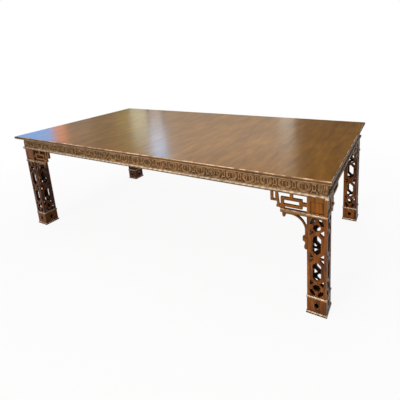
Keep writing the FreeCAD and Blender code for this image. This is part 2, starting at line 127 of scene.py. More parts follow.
@dataclass(frozen=True)
class NodeBench:
    """A node tree with short calls that add, set and link its nodes."""

    tree: bpy.types.NodeTree

    @classmethod
    def blank(cls, block: bpy.types.ID) -> "NodeBench":
        """Start on the empty node tree of a material or a world.

        Args:
            block: The new material or world.

        Returns:
            The bench.
        """
        block.use_nodes = True
        block.node_tree.nodes.clear()
        return cls(block.node_tree)

    def add(self, kind: str, settings: dict | None = None,
            inputs: dict | None = None) -> bpy.types.Node:
        """Add a node.

        Args:
            kind: Blender's name for the node.
            settings: Properties to set on it.
            inputs: Input sockets to set or link, by name or number.

        Returns:
            The new node.
        """
        node = self.tree.nodes.new(kind)
        for key, value in (settings or {}).items():
            setattr(node, key, value)
        for key, value in (inputs or {}).items():
            if isinstance(value, NodeSocket):
                self.tree.links.new(value, node.inputs[key])
            else:
                node.inputs[key].default_value = value
        return node

    def noise(self, coords: NodeSocket, scale: Vector, detail: float, bend: float) -> NodeSocket:
        """Add a noise that is stretched along the table's axes.

        Args:
            coords: Coordinates in metres.
            scale: Features per metre along each axis.
            detail: Octaves of finer noise.
            bend: How much the noise wanders.

        Returns:
            The noise value, from 0 to 1.
        """
        placed = self.add("ShaderNodeMapping", inputs={"Vector": coords, "Scale": scale})
        noise = self.add("ShaderNodeTexNoise", inputs={
            "Vector": placed.outputs[0], "Scale": 1.0, "Detail": detail,
            "Roughness": NOISE_GAIN, "Distortion": bend})
        return noise.outputs["Fac"]

    def spread(self, value: NodeSocket, low: float, high: float, start: float = 0.3,
               stop: float = 0.7) -> NodeSocket:
        """Map a noise to a new range.

        Args:
            value: The noise.
            low: Result at start.
            high: Result at stop.
            start: Noise value that gives low.
            stop: Noise value that gives high.

        Returns:
            The mapped value.
        """
        node = self.add("ShaderNodeMapRange", inputs={
            "Value": value, "From Min": start, "From Max": stop, "To Min": low, "To Max": high})
        return node.outputs[0]

    def combine(self, operation: str, one: NodeSocket, other: NodeSocket | float) -> NodeSocket:
        """Combine two values by one of Blender's math operations."""
        return self.add("ShaderNodeMath", {"operation": operation}, {0: one, 1: other}).outputs[0]

    def tone(self, colour: NodeSocket, value: NodeSocket) -> NodeSocket:
        """Make a colour lighter or darker by a value."""
        node = self.add("ShaderNodeHueSaturation", inputs={"Color": colour, "Value": value})
        return node.outputs[0]

    def lay_over(self, colour: NodeSocket, other: Colour, amount: NodeSocket,
                 patches: NodeSocket) -> NodeSocket:
        """Lay another colour over the wood in patches.

        Args:
            colour: Colour of the wood.
            other: Colour to lay over it.
            amount: How much of it is laid.
            patches: How evenly it lies.

        Returns:
            The colour that shows.
        """
        share = self.combine("MULTIPLY", amount, patches)
        node = self.add("ShaderNodeMix", {"data_type": "RGBA"}, {0: share, 6: colour, 7: other})
        return node.outputs[2]


@dataclass(frozen=True)
class WoodFinish:
    """A stained, polished and rubbed timber surface, with its grain along one axis, and with
    painted highlights and painted shade.

    Each noise has its features per metre, how far they are drawn out along the grain, and its
    octaves and bend.
    """

    slot: str
    deep: Colour
    body: Colour
    light: Colour
    # The pale colour paints rubbing and highlights; the dark colour paints shade, laid in patches.
    worn: Colour
    dirt: Colour = stain(34, 20, 11)
    ramp: Point = (0.32, 0.5, 0.68)
    streaks: float = 45.0
    stretch: float = 16.0
    streak_noise: Pair = (6.0, 0.7)
    pores: float = 420.0
    pore_stretch: float = 18.0
    pore_noise: Pair = (3.0, 0.2)
    pore_depth: float = 0.22
    pore_height: float = 0.3 * MM
    patch: float = 60.0
    patch_noise: Pair = (4.0, 0.3)
    patch_edge: Pair = (0.4, 0.6)
    broken: float = 0.35
    thin_dirt: float = 0.7
    cloud: float = 0.14
    cloud_size: float = 5.0
    cloud_stretch: float = 2.5
    cloud_noise: Pair = (3.0, 0.4)
    board: float = 0.0
    board_change: float = 0.0
    rough: Pair = (0.34, 0.5)
    shine: float = 0.4
    coat: float = 0.0
    coat_rough: float = 0.2
    coat_wave: float = 0.0
    bump: float = 0.25

    def material(self, grain: Grain) -> Material:
        """Give the finish with its grain along an axis, made once.

        Args:
            grain: Axis that the grain runs along.

        Returns:
            The material.
        """
        name = f"{self.slot}_{grain.name.lower()}"
        made = bpy.data.materials.get(name)
        if made is None:
            made = bpy.data.materials.new(name)
            self.lay(NodeBench.blank(made), grain)
        return made

    def along(self, grain: Grain, across: float, stretch: float) -> Vector:
        """Give a noise scale that is drawn out along the grain.

        Args:
            grain: Axis that the grain runs along.
            across: Features per metre across the grain.
            stretch: Length of a feature in widths.

        Returns:
            Features per metre along each axis.
        """
        scale = Vector((across, across, across))
        scale[grain.value] = across / stretch
        return scale

    def lay(self, bench: NodeBench, grain: Grain) -> None:
        """Lay the colour, pores, rubbing, painted highlights, painted shade and polish in a node
        tree.

        Args:
            bench: The empty node tree.
            grain: Axis that the grain runs along.
        """
        coords = bench.add("ShaderNodeTexCoord").outputs["Object"]
        figure, pores, cloud, rub = (
            bench.noise(coords, self.along(grain, across, stretch), *kind)
            for across, stretch, kind in (
                (self.streaks, self.stretch, self.streak_noise),
                (self.pores, self.pore_stretch, self.pore_noise),
                (self.cloud_size, self.cloud_stretch, self.cloud_noise),
                (self.patch, 1.0, self.patch_noise)))
        ramp = bench.add("ShaderNodeValToRGB", inputs={"Fac": figure})
        steps = ramp.color_ramp.elements
        steps[0].position, steps[0].color = self.ramp[0], self.deep
        steps[1].position, steps[1].color = self.ramp[2], self.light
        steps.new(self.ramp[1]).color = self.body
        colour = bench.tone(ramp.outputs[0],
                            bench.spread(pores, 1 - self.pore_depth, 1 + self.pore_depth / 2))
        colour = bench.tone(colour, bench.spread(cloud, 1 - self.cloud, 1 + self.cloud))
        if self.board > 0:
            colour = bench.tone(colour, self.board_tone(bench, coords))
        # The face mark paints light: below 0 it lays the dark colour as painted shade, above 0 the
        # pale colour as rubbing and painted highlight.
        painted_light_and_wear = bench.add("ShaderNodeAttribute", {"attribute_name": WEAR_AND_PAINTED_LIGHT}).outputs["Fac"]
        colour = bench.lay_over(colour, self.dirt, bench.spread(painted_light_and_wear, 1.0, 0.0, -1.0, 0.0),
                                bench.spread(rub, 1.0, self.thin_dirt))
        colour = bench.lay_over(colour, self.worn, bench.spread(painted_light_and_wear, 0.0, 1.0, 0.0, 1.0),
                                bench.spread(rub, self.broken, 1.0, *self.patch_edge))
        shader = bench.add("ShaderNodeBsdfPrincipled", inputs={
            "Base Color": colour, "Roughness": bench.spread(figure, *self.rough),
            "Specular IOR Level": self.shine, "Coat Weight": self.coat,
            "Coat Roughness": self.coat_rough})
        for socket, height, strength, depth in (("Normal", pores, self.bump, self.pore_height),
                                                ("Coat Normal", figure, 1.0, self.coat_wave)):
            if depth > 0:
                raised = bench.add("ShaderNodeBump", inputs={
                    "Height": height, "Strength": strength, "Distance": depth})
                bench.tree.links.new(raised.outputs[0], shader.inputs[socket])
        bench.add("ShaderNodeOutputMaterial", inputs={"Surface": shader.outputs[0]})

    def board_tone(self, bench: NodeBench, coords: NodeSocket) -> NodeSocket:
        """Give each board across the top its own tone.

        Args:
            bench: The node tree.
            coords: Coordinates in metres.

        Returns:
            The tone, about 1.
        """
        along = bench.add("ShaderNodeSeparateXYZ", inputs={0: coords}).outputs[0]
        number = bench.combine("FLOOR", bench.combine("DIVIDE", along, self.board), 0.0)
        draw = bench.add("ShaderNodeTexWhiteNoise", {"noise_dimensions": "1D"}, {"W": number})
        return bench.spread(draw.outputs["Value"], 1 - self.board_change, 1 + self.board_change,
                            0.0, 1.0)


TOP_VENEER = WoodFinish(
    "top_veneer", stain(107, 68, 15), stain(122, 80, 20), stain(135, 92, 28), stain(176, 140, 100),
    streaks=34.0, stretch=6.5, streak_noise=(5.0, 0.5), pores=260.0, pore_stretch=34.0,
    pore_depth=0.16, cloud=0.24, cloud_size=12.0, board=0.118, board_change=0.07,
    rough=(0.276, 0.29), shine=0.06, coat=0.68, coat_wave=0.35 * MM, bump=0.03)
EDGE_WOOD = WoodFinish(
    "edge_wood", stain(102, 66, 28), stain(120, 82, 38), stain(136, 96, 50), stain(222, 192, 160),
    patch=24.0, broken=0.05, rough=(0.36, 0.48), shine=0.3, bump=0.1)
CARVED_WOOD = WoodFinish(
    "carved_wood", stain(58, 35, 14), stain(93, 58, 25), stain(121, 77, 35), stain(188, 150, 105),
    cloud=0.22, shine=0.2)
# The sunk ground is stained darker than the straps; the darker ground also paints the shade between
# them.
GROUND_WOOD = WoodFinish(
    "carved_ground", stain(55, 34, 15), stain(79, 51, 24), stain(98, 66, 33), stain(150, 116, 80),
    shine=0.2)
LEG_WOOD = WoodFinish(
    "leg_wood", stain(54, 28, 10), stain(94, 51, 18), stain(126, 72, 27), stain(178, 128, 76),
    stretch=6.0, cloud=0.3, shine=0.12)
BLOCK_WOOD = WoodFinish(
    "block_wood", stain(76, 41, 11), stain(114, 66, 19), stain(138, 83, 27), stain(166, 118, 66),
    shine=0.15)
MOULDING_WOOD = WoodFinish(
    "moulding_wood", stain(92, 66, 38), stain(126, 96, 60), stain(150, 118, 78),
    stain(226, 204, 178), shine=0.3)
FRAME_WOOD = WoodFinish(
    "frame_wood", stain(122, 84, 48), stain(156, 114, 72), stain(176, 136, 92),
    stain(180, 140, 100), rough=(0.55, 0.7), shine=0.25)


class Workpiece:
    """A mesh on the bench, shaped with bmesh operators and then put on the table.

    Carving is laid out as seen from outside: x runs to the right, z up, and -y comes forward.
    """

    def __init__(self) -> None:
        """Start with an empty mesh that keeps, for each face, its pale mark of rubbing and painted
        highlight and its dark mark of painted shade.
        """
        self.bm = bmesh.new()
        self.wear_and_painted_light = self.bm.faces.layers.float.new(WEAR_AND_PAINTED_LIGHT)

    @classmethod
    def from_node(cls, node: str) -> "Workpiece":
        """Start from a solid of the frame, with its loose triangles merged into whole faces.

        Args:
            node: Name of the solid.

        Returns:
            The workpiece.
        """
        piece = cls()
        piece.bm.from_mesh(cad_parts[node].data)
        piece.wear_and_painted_light = piece.bm.faces.layers.float.get(WEAR_AND_PAINTED_LIGHT)
        for corners in piece.shells():
            bmesh.ops.remove_doubles(piece.bm, verts=corners, dist=MERGE_GAP)
        bmesh.ops.dissolve_limit(piece.bm, angle_limit=FLAT_ANGLE, verts=piece.bm.verts,
                                 edges=piece.bm.edges, use_dissolve_boundaries=False)
        for face in piece.bm.faces:
            face.material_index = 0
        return piece

    def shells(self) -> list[list[BMVert]]:
        """Part loose triangles into the closed shells that they make up, one after the other.

        Returns:
            The corners of each shell.
        """
        shells = []
        corners: list[BMVert] = []
        loose: set[frozenset] = set()
        for face in self.bm.faces:
            corners.extend(face.verts)
            spots = [tuple(round(value / MERGE_GAP) for value in vert.co) for vert in face.verts]
            loose ^= {frozenset(side) for side in zip(spots, spots[1:] + spots[:1])}
            if not loose:
                shells.append(list(dict.fromkeys(corners)))
                corners = []
        return shells

    @property
    def everything(self) -> list:
        """All the corners, edges and faces on the bench."""
        return [*self.bm.verts, *self.bm.edges, *self.bm.faces]

    def rub(self, faces: list[BMFace], amount: float) -> None:
        """Mark faces with a pale mark of rubbing, which in places paints highlights, and, below 0,
        with painted shade.

        Args:
            faces: The faces.
            amount: From 0, as finished, to 1, down to the pale wood, and below 0 for painted shade.
        """
        for face in faces:
            face[self.wear_and_painted_light] = amount

    def rub_ledge(self, faces: list[BMFace], worn: float = 0.9, under: float = -0.35) -> None:
        """Paint the upper side of a rounded ledge pale, as rubbing and painted highlight, and paint
        shade on its lower side.

        Args:
            faces: Faces of the ledge.
            worn: How pale the upper side is painted.
            under: How dark the painted shade on the lower side is.
        """
        for face in faces:
            face[self.wear_and_painted_light] = worn if face.normal.z > LEDGE_TILT else under

    def sharp_edges(self) -> list[BMEdge]:
        """Give the edges where two faces meet at an outward corner."""
        return [edge for edge in self.bm.edges if len(edge.link_faces) == 2 and edge.is_convex
                and edge.calc_face_angle() > SHARP_ANGLE]

    def ease(self, width: float, edges: list[BMEdge] | None = None, worn: float = 1.0,
             segments: int = 2) -> None:
        """Round edges and mark the rounding as rubbed.

        Args:
            width: Width of the rounding at each side of the edge.
            edges: The edges, or all the sharp ones.
            worn: How rubbed the rounding is.
            segments: Faces across the rounding.
        """
        chosen = self.sharp_edges() if edges is None else edges
        made = bmesh.ops.bevel(self.bm, geom=chosen, offset=width, offset_type="OFFSET",
                               segments=segments, profile=0.5, affect="EDGES",
                               clamp_overlap=True, material=-1)
        self.rub(made["faces"], worn)

    def strap_top(self, verts: set[BMVert], width: float) -> None:
        """Finish the front of a strap with a flat and eased edges painted pale, as rubbing and
        painted highlight.

        Args:
            verts: Corners of the strap's front.
            width: Width of the strap.
        """
        self.rub([face for face in self.bm.faces if verts.issuperset(face.verts)], STRAP_WEAR_AND_HIGHLIGHT)
        rim = [edge for edge in self.sharp_edges() if verts.issuperset(edge.verts)]
        self.ease(width * STRAP_EASE, rim, segments=1)

    def bar(self, start: Pair, stop: Pair, width: float, back: float, rise: float) -> None:
        """Add a straight strap.

        Args:
            start: Middle of one end, as x and z.
            stop: Middle of the other end.
            width: Width of the strap.
            back: How far forward its back lies.
            rise: How far forward its front lies.
        """
        run = Vector((stop[0] - start[0], 0, stop[1] - start[1]))
        middle = Vector(((start[0] + stop[0]) / 2, -(back + rise) / 2, (start[1] + stop[1]) / 2))
        turn = Matrix.Rotation(math.atan2(-run.z, run.x), 4, "Y")
        size = Matrix.Diagonal((run.length, rise - back, width, 1))
        made = bmesh.ops.create_cube(self.bm, size=1,
                                     matrix=Matrix.Translation(middle) @ turn @ size)
        self.strap_top({vert for vert in made["verts"] if vert.co.y < middle.y}, width)

    def band(self, centre: Pair, wide: float, high: float, sides: int, strap: float, back: float,
             rise: float) -> None:
        """Add a closed strap round a many-sided outline.

        Args:
            centre: Middle of the outline, as x and z.
            wide: Width of the outline.
            high: Height of the outline.
            sides: Number of sides.
            strap: Width of the strap.
            back: How far forward its back lies.
            rise: How far forward its front lies.
        """
        grow = 1 / math.cos(math.pi / sides)
        place = (Matrix.Translation((centre[0], -back, centre[1]))
                 @ Matrix.Diagonal((wide / 2 * grow, 1, high / 2 * grow, 1))
                 @ Matrix.Rotation(math.pi / 2, 4, "X")
                 @ Matrix.Rotation(math.pi / sides, 4, "Z"))
        ring = bmesh.ops.create_circle(self.bm, cap_ends=True, segments=sides, radius=1,
                                       matrix=place)
        self.bm.normal_update()
        disc = ring["verts"][0].link_faces[0]
        rim = bmesh.ops.inset_region(self.bm, faces=[disc], thickness=strap, use_boundary=True,
                                     use_even_offset=True)["faces"]
        bmesh.ops.delete(self.bm, geom=[disc], context="FACES_ONLY")
        raised = bmesh.ops.extrude_face_region(self.bm, geom=rim)["geom"]
        front = {item for item in raised if isinstance(item, BMVert)}
        bmesh.ops.translate(self.bm, verts=list(front), vec=(0, back - rise, 0))
        self.bm.normal_update()
        self.strap_top(front, strap)

    def bead(self, centre: Point, size: Point, lean: float, worn: float, turn: float = 0.0) -> None:
        """Add a long rounded petal.

        Args:
            centre: Its middle.
            size: Its half width, half depth and half height.
            lean: Angle that its head leans to the right.
            worn: How rubbed it is.
            turn: Angle about the upright axis.
        """
        place = (Matrix.Translation(centre) @ Matrix.Rotation(turn, 4, "Z")
                 @ Matrix.Rotation(lean, 4, "Y") @ Matrix.Diagonal((*size, 1)))
        made = bmesh.ops.create_uvsphere(self.bm, u_segments=BEAD_SIDES, v_segments=BEAD_RINGS,
                                         radius=1, matrix=place)
        self.rub(list({face for vert in made["verts"] for face in vert.link_faces}), worn)

    def repeat(self, count: int, pitch: float) -> None:
        """Repeat what is on the bench to the right.

        Args:
            count: Number of copies in all.
            pitch: Step from one to the next.
        """
        first = self.everything
        for step in range(1, count):
            made = bmesh.ops.duplicate(self.bm, geom=first)["geom"]
            moved = [item for item in made if isinstance(item, BMVert)]
            bmesh.ops.translate(self.bm, verts=moved, vec=(step * pitch, 0, 0))

    def trim(self, point: Point, outward: Point) -> None:
        """Saw off what lies past a plane and close the cut.

        Args:
            point: A point on the plane.
            outward: Direction of the part that is cut off.
        """
        cut = bmesh.ops.bisect_plane(self.bm, geom=self.everything, dist=MERGE_GAP, plane_co=point,
                                     plane_no=outward, clear_outer=True)["geom_cut"]
        bmesh.ops.edgeloop_fill(self.bm, edges=[item for item in cut if isinstance(item, BMEdge)])

    def put(self, name: str, body: str, materials: list[Material], slot: str,
            stands_for: str | None = None, place: Matrix | None = None) -> None:
        """Make the piece an object of the table.

        Args:
            name: Name of the piece.
            body: Body that it rides on.
            materials: Finishes, in the order of the faces' material numbers.
            slot: Slot that the main finish belongs to; not used.
            stands_for: Solid of the frame that the piece replaces.
            place: Where the bench lies on the table.
        """
        if place is not None:
            bmesh.ops.transform(self.bm, matrix=place, verts=self.bm.verts)
        for face in self.bm.faces:
            face.smooth = True
        for edge in self.bm.edges:
            edge.smooth = len(edge.link_faces) != 2 or edge.calc_face_angle() < CREASE_ANGLE
        mesh = bpy.data.meshes.new(name)
        self.bm.to_mesh(mesh)
        self.bm.free()
        for material in materials:
            mesh.materials.append(material)
        piece = bpy.data.objects.new(name, mesh)
        bpy.context.scene.collection.objects.link(piece)
        even = piece.modifiers.new("even_shading", "WEIGHTED_NORMAL")
        even.keep_sharp = True
        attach(piece, body)
        if stands_for is not None:
            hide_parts(stands_for)
        LOG.info("%s: %d faces", name, len(mesh.polygons))


def dress_node(node: str, finish: WoodFinish, grain: Grain) -> None:
    """Give a solid of the frame its finish, with its shape as it is.

    Args:
        node: Name of the solid.
        finish: The finish.
        grain: Axis that the grain runs along.
    """
    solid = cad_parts[node]
    if not solid.material_slots:
        solid.data.materials.append(None)
    for place in solid.material_slots:
        place.material = finish.material(grain)
    LOG.info("%s: finished as built", node)


@dataclass(frozen=True)
class Run:
    """One straight length of the apron, as seen from outside with x to the right."""

    side: Side
    half: Half
    turn: float
    start: float
    stop: float
    plane: float

    @classmethod
    def of_rail(cls, side: Side, half: Half) -> "Run":
        """Read a length of apron from its rail.

        Args:
            side: Side of the table.
            half: Half of the table.

        Returns:
            The run.
        """
        turn = {Side.FRONT: 0.0, Side.BACK: math.pi, Side.END: math.pi / 2}[side]
        if side is Side.END and half is Half.LEFT:
            turn = -turn
        back = Matrix.Rotation(-turn, 3, "Z")
        corners = [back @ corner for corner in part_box(f"rail_{side.value}_{half.value}")]
        along = sorted(corner.x for corner in corners)
        return cls(side, half, turn, along[0], along[1], -min(corner.y for corner in corners))

    @property
    def name(self) -> str:
        """Side and half in one word."""
        return f"{self.side.value}_{self.half.value}"

    @property
    def mitred_start(self) -> bool:
        """Whether the run starts at a corner and not at the middle seam."""
        return self.side is Side.END or self.start < -self.stop

    @property
    def mitred_stop(self) -> bool:
        """Whether the run stops at a corner and not at the middle seam."""
        return self.side is Side.END or self.stop > -self.start

    def place(self) -> Matrix:
        """Give the matrix from the bench to this side of the table."""
        return Matrix.Rotation(self.turn, 4, "Z") @ Matrix.Translation((0, -self.plane, 0))


@dataclass
class TableTop:
    """Two veneered panels and the moulded lipping round them."""

    seam_ease: float = 1.2 * MM
    seam_reach: float = 1.0 * MM
    hollow_low: float = -0.95
    hollow_high: float = -0.15
    hollow_rub: float = 0.35
    round_foot: float = 0.3
    round_low: float = 0.7
    round_high: float = 0.99
    round_rub: float = 1.0
    foot_grime: float = -0.7

    def build(self, runs: list[Run]) -> None:
        """Build the panels and the lipping.

        Args:
            runs: The lengths of apron below the lipping.
        """
        for half in Half:
            self.panel(half)
        for run in runs:
            self.lipping(run)

    def panel(self, half: Half) -> None:
        """Ease the meeting edge of one panel, where the halves part.

        Args:
            half: Half of the table.
        """
        node = f"top_panel_{half.value}"
        low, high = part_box(node)
        seam = low.x if half is Half.RIGHT else high.x
        piece = Workpiece.from_node(node)
        meeting = [edge for edge in piece.bm.edges
                   if all(abs(vert.co.x - seam) < self.seam_reach
                          and vert.co.z > high.z - MERGE_GAP for vert in edge.verts)]
        piece.ease(self.seam_ease, meeting, worn=0.0)
        piece.put(node + "_veneer", half.body, [TOP_VENEER.material(Grain.WIDTH)], "top_veneer",
                  node)

    def lipping(self, run: Run) -> None:
        """Paint the rounded arris of one length of lipping pale, as rubbing and painted highlight,
        paint shade on its upright faces and underside, and carry the veneer over its flat.

        Args:
            run: Length of apron below it.
        """
        node = f"top_edge_{run.name}"
        piece = Workpiece.from_node(node)
        # Painted light: the arris is painted pale as a highlight line and the faces below it are
        # painted dark as shade.
        for face in piece.bm.faces:
            tilt = face.normal.z
            if tilt >= self.round_high:
                face.material_index = 1
            elif tilt > self.round_low:
                piece.rub([face], self.round_rub)
            elif self.hollow_low < tilt < self.hollow_high:
                piece.rub([face], self.hollow_rub)
            elif tilt < self.round_foot:
                piece.rub([face], self.foot_grime)
        finishes = [EDGE_WOOD.material(run.side.grain), TOP_VENEER.material(Grain.WIDTH)]
        piece.put(node + "_moulded", run.half.body, finishes, "edge_wood", node)


@dataclass
class CarvedFrieze:
    """Blind fret on the sunk field of the rails: medallions, armed rings and corner leaves."""

    sink: float = 2.5 * MM
    rim: float = 4.0 * MM
    embed: float = 0.6 * MM
    strap: float = 3.6 * MM
    rise: float = 3.4 * MM
    line: float = 2.6 * MM
    line_rise: float = 1.4 * MM
    line_inset: float = 2.4 * MM
    sides: int = 8
    medallion: float = 63.0 * MM
    band_gap: float = 2.8 * MM
    gate: Pair = (19.0 * MM, 28.0 * MM)
    post_share: float = 0.95
    ring: Pair = (19.0 * MM, 36.0 * MM)
    arm_root: Pair = (6.0 * MM, 14.0 * MM)
    arm_reach: float = 17.0 * MM
    arm_share: float = 0.85
    leaf: float = 40.0 * MM
    leaf_petals: int = 5
    petal_share: float = 0.36
    petal_lean: float = math.radians(7)
    petal_rub: float = 0.75
    corner: float = 12.0 * MM
    pitch: float = 98.0 * MM
    foot: float = field(init=False)
    head: float = field(init=False)

    def __post_init__(self) -> None:
        """Read the height of the sunk field from the frame."""
        self.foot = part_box("moulding_front_right")[1].z
        self.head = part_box("rail_front_right")[1].z - self.rim

    @property
    def middle(self) -> float:
        """Height of the middle of the field."""
        return (self.foot + self.head) / 2

    @property
    def reach(self) -> float:
        """Height from the middle of the field to its border lines."""
        return (self.head - self.foot) / 2 - self.line_inset - self.line

    def build(self, runs: list[Run]) -> None:
        """Carve every rail.

        Args:
            runs: The lengths of apron.
        """
        for run in runs:
            # The rail's sunk ground gets the darker ground finish, which also paints the shade
            # between the straps.
            dress_node(f"rail_{run.name}", GROUND_WOOD, run.side.grain)
            self.carve(run)

    def carve(self, run: Run) -> None:
        """Carve one rail.

        Args:
            run: Length of apron.
        """
        start = run.start + self.corner * run.mitred_start
        stop = run.stop - self.corner * run.mitred_stop
        count = round((stop - start) / self.pitch)
        pitch = (stop - start) / count
        piece = Workpiece()
        self.medal(piece, start)
        self.armed_ring(piece, start + pitch / 2)
        piece.repeat(count, pitch)
        self.medal(piece, stop)
        piece.trim((run.start + self.leaf * run.mitred_start, 0, 0), (-1, 0, 0))
        piece.trim((run.stop - self.leaf * run.mitred_stop, 0, 0), (1, 0, 0))
        self.border(piece, run)
        if run.mitred_start:
            self.corner_leaf(piece, run.start + self.leaf / 2, 1)
        if run.mitred_stop:
            self.corner_leaf(piece, run.stop - self.leaf / 2, -1)
        bmesh.ops.recalc_face_normals(piece.bm, faces=piece.bm.faces)
        piece.put(f"frieze_carving_{run.name}", run.half.body,
                  [CARVED_WOOD.material(run.side.grain)], "carved_wood",
                  place=run.place() @ Matrix.Translation((0, self.sink, 0)))

    def medal(self, piece: Workpiece, x: float) -> None:
        """Add an eight-sided medallion of two bands with a small gate in it.

        Args:
            piece: The carving.
            x: Place along the rail.
        """
        high = self.head - self.foot - 2 * self.line_inset - self.line
        for inset in (0.0, 2 * (self.strap + self.band_gap)):
            piece.band((x, self.middle), self.medallion - inset, high - inset, self.sides,
                       self.strap, -self.embed, self.rise)
        left, right = x - self.gate[0] / 2, x + self.gate[0] / 2
        foot, top = self.middle - self.gate[1] / 2, self.middle + self.gate[1] / 2
        for post in (left, right):
            piece.bar((post, foot), (post, top), self.strap, -self.embed,
                      self.rise * self.post_share)
        piece.bar((left, top), (right, top), self.strap, -self.embed, self.rise)

    def armed_ring(self, piece: Workpiece, x: float) -> None:
        """Add a small ring with four arms between medallions.

        Args:
            piece: The carving.
            x: Place along the rail.
        """
        piece.band((x, self.middle), *self.ring, self.sides, self.strap, -self.embed, self.rise)
        for side in (-1, 1):
            for up in (-1, 1):
                root = (x + side * self.arm_root[0], self.middle + up * self.arm_root[1])
                tip = (x + side * self.arm_reach, self.middle + up * self.reach)
                piece.bar(root, tip, self.strap * self.arm_share, -self.embed,
                          self.rise * self.arm_share)

    def border(self, piece: Workpiece, run: Run) -> None:
        """Add the fine lines along the top and the foot of the field."""
        for level in (self.foot + self.line_inset, self.head - self.line_inset):
            piece.bar((run.start, level), (run.stop, level), self.line, -self.embed, self.line_rise)

    def corner_leaf(self, piece: Workpiece, x: float, lean: int) -> None:
        """Add the upright leaf at a corner.

        Args:
            piece: The carving.
            x: Middle of the leaf along the rail.
            lean: 1 where its petals lean to the right, -1 to the left.
        """
        step = self.leaf / self.leaf_petals
        for number in range(self.leaf_petals):
            offset = (number - (self.leaf_petals - 1) / 2) * step
            piece.bead((x + offset, 0, self.middle),
                       (step * self.petal_share, self.rise, self.reach),
                       self.petal_lean * lean, self.petal_rub)


